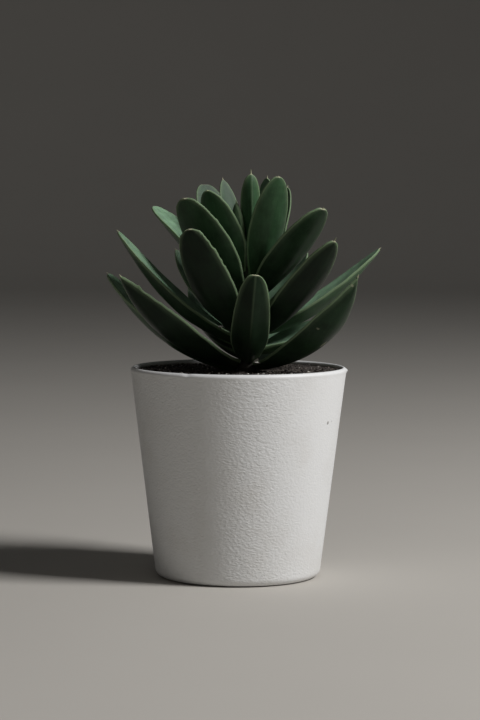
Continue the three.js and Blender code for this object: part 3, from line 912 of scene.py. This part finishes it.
def leaf_tissue(leaves):
    """Fleshy leaf under a waxy cuticle: dark green behind, greyer above, with a low gloss.

    Fine veins run lengthways, the base is paler, and the point is dry and grey. The margin is a
    thin pale line, thin enough to let light through: that light is painted, as a pale glow that
    grows towards the tip. The dark back and the greyer upper face are partly the leaf's own colours
    and partly painted shade below and painted light above, each leaf's tone adds painted light and
    shade, and a painted highlight line runs along the keel.
    """
    material, tree, shader = new_material("waxy_leaf")
    from_margin, upper, keel_and_highlight, along, tone, mark = (
        add_node(tree, "ShaderNodeAttribute", output="Fac", attribute_name=name)
        for name in LEAF_LAYERS)
    place = add_node(tree, "ShaderNodeAttribute", output="Vector", attribute_name="leaf_place")
    drawn_out = add_node(tree, "ShaderNodeMapping",
                         {"Vector": place, "Scale": [1 / size for size in LEAF_VEINS]})
    vein = add_node(tree, "ShaderNodeTexNoise",
                    {"Vector": drawn_out, "Scale": 1, "Detail": 4, "Roughness": 0.55})
    body = add_node(tree, "ShaderNodeTexCoord", output="Object")
    cloud = add_node(tree, "ShaderNodeTexNoise",
                     {"Vector": body, "Scale": 1 / (6.5 * MM), "Detail": 5, "Roughness": 0.6})
    freckle = add_node(tree, "ShaderNodeTexNoise",
                       {"Vector": body, "Scale": 1 / (0.8 * MM), "Detail": 2, "Roughness": 0.5})
    # Upper face paler than the back: partly the leaf's own colours, partly painted light and shade
    base = painted(tree, rgba(leaves.back), [(upper, 0.4, 0.7, leaves.face)])
    shades = [(vein, 0.3, 0.75, 0.93, 1.14), (cloud, 0.3, 0.65, 0.72, 1.15),
              (freckle, 0.62, 0.76, 1, 1.2)]
    tints = [add_node(tree, "ShaderNodeMapRange", shade, **SMOOTH) for shade in shades]
    # The tone scales the colour: painted light and shade, with a little drift of the leaf's own colour
    for tint in (*tints, tone):
        base = add_node(tree, "ShaderNodeVectorMath", {0: base, "Scale": tint}, operation="SCALE")

    ragged = add_node(tree, "ShaderNodeMath", (cloud, -0.8 * leaves.line, from_margin),
                      operation="MULTIPLY_ADD")
    # Painted light let through the thin margin, shown only towards the tip
    thin = add_node(tree, "ShaderNodeMapRange", (ragged, 0, leaves.painted_glow, 1, 0), **SMOOTH)
    outer = add_node(tree, "ShaderNodeMapRange", (along, 0.3, 0.97, 0, 0.3), **SMOOTH)
    painted_glow = add_node(tree, "ShaderNodeMath", (thin, outer), operation="MULTIPLY")
    # The keel's layer is a painted highlight line; the glow's is painted light let through the margin
    base = painted(tree, base, [
        (along, 0.02, 0.22, 0.7, 0, leaves.blade_base),
        (keel_and_highlight, 0.3, 0.9, 0, 0.16, leaves.margin),
        (painted_glow, leaves.margin),
        (ragged, 0.1 * leaves.line, leaves.line, 0.75, 0, leaves.margin),
        (mark, 0.25, 0.8, 0, 0.6, leaves.dry),
        (along, 0.988, 1.02, leaves.dry),
    ])

    uneven = add_node(tree, "ShaderNodeMapRange", (cloud, 0.3, 0.7, 0, 0.1), **SMOOTH)
    bloom = add_node(tree, "ShaderNodeMapRange", (upper, 0.4, 0.7, 0.38, 0.52), **SMOOTH)
    relief = add_node(tree, "ShaderNodeMath", (freckle, 0.4, vein), operation="MULTIPLY_ADD")
    set_inputs(tree, shader, {
        "Base Color": base,
        "Roughness": add_node(tree, "ShaderNodeMath", (uneven, bloom), operation="ADD"),
        "Specular IOR Level": add_node(tree, "ShaderNodeMapRange", (upper, 0.4, 0.7, 0.16, 0.26),
                                       **SMOOTH),
        "Normal": add_node(tree, "ShaderNodeBump",
                           {"Strength": 0.4, "Distance": 0.05 * MM, "Height": relief}),
        "IOR": 1.45, "Subsurface Weight": 0.1, "Subsurface Radius": (0.5, 1.0, 0.35),
        "Subsurface Scale": 1.2 * MM,
    })
    return material


# ---- Stage -----------------------------------------------

CAMERA_PLACE = Vector((0.503, -884.06, 145.33)) * MM
CAMERA_DOWN = 4.232               # degrees below the horizon
CAMERA_ROLL = 0.266               # degrees
FLOOR_FLAT = 2.4                  # radius of the flat floor, in metres
FLOOR_CURVE = 1.4                 # radius of its upward curve, in metres
BACKDROP_TOP = 2.6                # height of the backdrop, in metres
FLOOR_ROWS = 0.3                  # spacing of the floor's rows, in metres
LIGHTS_AIM = Vector((0, 0, 0.08))
SKY_TINT = "F9FCFF"

# Each light by its place and the side of its square, in metres, and its tint
KEY_LIGHT = ((0.91, -0.37, 1.0), 0.36, "FFFEFE")
FILL_LIGHT = ((-0.2, -1.6, 0.75), 1.3, "FFF7ED")


def studio_paper(stage):
    """Matt painted floor: pale and even, with the faintest roller mottle."""
    material, tree, shader = new_material("matt_studio_floor")
    place = add_node(tree, "ShaderNodeTexCoord", output="Object")
    patches = add_node(tree, "ShaderNodeTexNoise", {"Vector": place, "Scale": 9, "Detail": 4})
    darker = [c * 0.95 for c in stage.floor]
    base = painted(tree, rgba(stage.floor), [(patches, darker)])
    set_inputs(tree, shader, {"Base Color": base, "Roughness": 0.8})
    return material


def model_floor(stage):
    """A round floor whose rim curves up into a backdrop."""
    wall = FLOOR_FLAT + FLOOR_CURVE
    outline = [(0, 0), (wall, 0), (wall, BACKDROP_TOP)]
    bm = spin_outline(outline, 96, [(1, FLOOR_CURVE, 24, 0.5)], lambda middle: FLOOR_ROWS)
    bmesh.ops.reverse_faces(bm, faces=bm.faces)
    floor = link_mesh(bm, "floor", studio_paper(stage))


def soft_light(name, light, power):
    """A square soft light that faces the plant and that the camera doesn't see."""
    place, size, tint = light
    data = bpy.data.lights.new(name, "AREA")
    data.shape = "SQUARE"
    data.size = size
    data.energy = power
    data.color = linear(tint)
    lamp = bpy.data.objects.new(name, data)
    bpy.context.scene.collection.objects.link(lamp)
    lamp.location = place
    lamp.rotation_euler = (LIGHTS_AIM - Vector(place)).to_track_quat("-Z", "Y").to_euler()
    lamp.visible_camera = False


def model_sky(stage):
    """The faint, even light from all round."""
    world = bpy.data.worlds.new("studio")
    world.use_nodes = True
    inputs = {"Color": rgba(linear(SKY_TINT)), "Strength": stage.sky}
    set_inputs(world.node_tree, world.node_tree.nodes["Background"], inputs)
    bpy.context.scene.world = world


def model_camera(stage):
    """The camera, at the place and with the slight lean of the photograph's."""
    data = bpy.data.cameras.new("camera")
    data.lens = stage.lens
    data.sensor_width = 36
    data.sensor_fit = "AUTO"
    data.clip_start = 0.05
    data.clip_end = 20
    camera = bpy.data.objects.new("camera", data)
    bpy.context.scene.collection.objects.link(camera)
    tilt = Matrix.Rotation(math.radians(90 - CAMERA_DOWN), 4, "X")
    lean = Matrix.Rotation(math.radians(CAMERA_ROLL), 4, "Z")
    camera.matrix_world = Matrix.Translation(CAMERA_PLACE) @ tilt @ lean
    bpy.context.scene.camera = camera


# ---- Operators and panel ---------------------------------


class HAWORTHIA_OT_stage(Operator):
    """Add the floor, the soft lights and the camera"""
    bl_idname = "haworthia.stage"
    bl_label = "Stage"
    bl_options = {"REGISTER", "UNDO"}

    def execute(self, context):
        stage = context.scene.haworthia.stage
        model_floor(stage)
        model_camera(stage)
        soft_light("key", KEY_LIGHT, stage.key)
        soft_light("fill", FILL_LIGHT, stage.fill)
        model_sky(stage)
        return {"FINISHED"}


class HAWORTHIA_OT_pot(Operator):
    """Add the pot"""
    bl_idname = "haworthia.pot"
    bl_label = "Pot"
    bl_options = {"REGISTER", "UNDO"}

    def execute(self, context):
        model_pot(context.scene.haworthia.pot)
        return {"FINISHED"}


class HAWORTHIA_OT_soil(Operator):
    """Add the soil with the crumbs and white grit on it"""
    bl_idname = "haworthia.soil"
    bl_label = "Soil and grit"
    bl_options = {"REGISTER", "UNDO"}

    def execute(self, context):
        soil = context.scene.haworthia.soil
        mix = potting_mix(soil)
        model_soil(soil, context.scene.haworthia.pot, mix)
        draw = random.Random(soil.seed)
        sizes = [part * soil.crumb for part in CRUMB_SIZES]
        crumbs = scatter(soil, soil.crumbs, draw, sizes, CRUMB_RAGGED)
        finish_piece(crumbs, "soil_crumbs", mix, smooth=False)
        grit = scatter(soil, soil.grit, draw, GRIT_SIZES, GRIT_RAGGED, GRIT_PATCH)
        add_flakes(grit)
        finish_piece(grit, "soil_perlite", perlite(soil), smooth=False)
        return {"FINISHED"}


class HAWORTHIA_OT_stem(Operator):
    """Add the stem"""
    bl_idname = "haworthia.stem"
    bl_label = "Stem"
    bl_options = {"REGISTER", "UNDO"}

    def execute(self, context):
        model_stem(context.scene.haworthia.stem)
        return {"FINISHED"}


class HAWORTHIA_OT_leaves(Operator):
    """Add the leaves, from the lowest tier to the crown"""
    bl_idname = "haworthia.leaves"
    bl_label = "Leaves"
    bl_options = {"REGISTER", "UNDO"}

    def execute(self, context):
        leaves = context.scene.haworthia.leaf
        material = leaf_tissue(leaves)
        for number, leaf in enumerate(LEAVES, 1):
            model_leaf(leaf, number, leaves, material)
        return {"FINISHED"}


class HAWORTHIA_PT_panel(Panel):
    """Lists the steps that build the plant, each with its settings"""
    bl_idname = "HAWORTHIA_PT_panel"
    bl_label = "Potted haworthia"
    bl_space_type = "VIEW_3D"
    bl_region_type = "UI"
    bl_category = "Haworthia"

    def draw(self, context):
        settings = context.scene.haworthia
        steps = [
            (HAWORTHIA_OT_stage, settings.stage), (HAWORTHIA_OT_pot, settings.pot),
            (HAWORTHIA_OT_soil, settings.soil), (HAWORTHIA_OT_stem, settings.stem),
            (HAWORTHIA_OT_leaves, settings.leaf),
        ]
        for operator, group in steps:
            box = self.layout.box()
            box.operator(operator.bl_idname)
            for name in group.__annotations__:
                box.prop(group, name)


CLASSES = (
    PotSettings, SoilSettings, StemSettings, LeafSettings, StageSettings, HaworthiaSettings,
    HAWORTHIA_OT_stage, HAWORTHIA_OT_pot, HAWORTHIA_OT_soil, HAWORTHIA_OT_stem, HAWORTHIA_OT_leaves,
    HAWORTHIA_PT_panel,
)


def register():
    for item in CLASSES:
        bpy.utils.register_class(item)
    bpy.types.Scene.haworthia = PointerProperty(type=HaworthiaSettings)


def unregister():
    del bpy.types.Scene.haworthia
    for item in reversed(CLASSES):
        bpy.utils.unregister_class(item)


def main():
    register()
    bpy.context.scene.view_settings.view_transform = "Standard"
    bpy.ops.haworthia.stage()
    bpy.ops.haworthia.pot()
    bpy.ops.haworthia.soil()
    bpy.ops.haworthia.stem()
    bpy.ops.haworthia.leaves()


if __name__ == "__main__":
    main()
